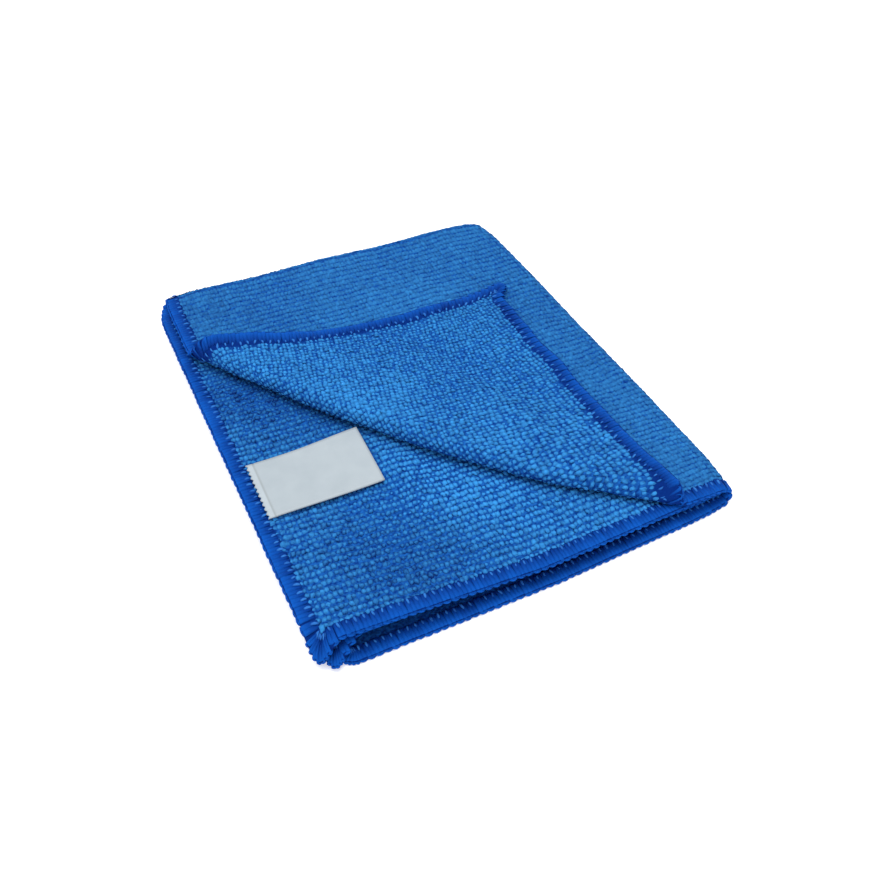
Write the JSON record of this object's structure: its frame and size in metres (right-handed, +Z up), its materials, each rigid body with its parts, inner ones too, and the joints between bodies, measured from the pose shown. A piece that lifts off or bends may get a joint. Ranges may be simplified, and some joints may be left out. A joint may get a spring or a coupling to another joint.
{
  "type": "microfibre cloth",
  "caption": "Thin overlocked microfibre cloth folded in quarters, one corner of the top layer rolled back diagonally, with a bare ribbon label sewn to a hem.",
  "frame": {"origin": "under the middle of the folded cloth, on the plane it rests on", "axes": "+X towards the side fold, +Y towards the back fold, +Z up"},
  "size_m": [0.1634, 0.2052, 0.0189],
  "materials": {
    "blue_microfibre": "looped terry knit, matt, with overlocked hems in a deeper blue",
    "satin_ribbon": "smooth woven ribbon, silver grey, slight sheen"
  },
  "bodies": {
    "root": {"cloth": "blue_microfibre", "label": "satin_ribbon"}
  },
  "joints": []
}
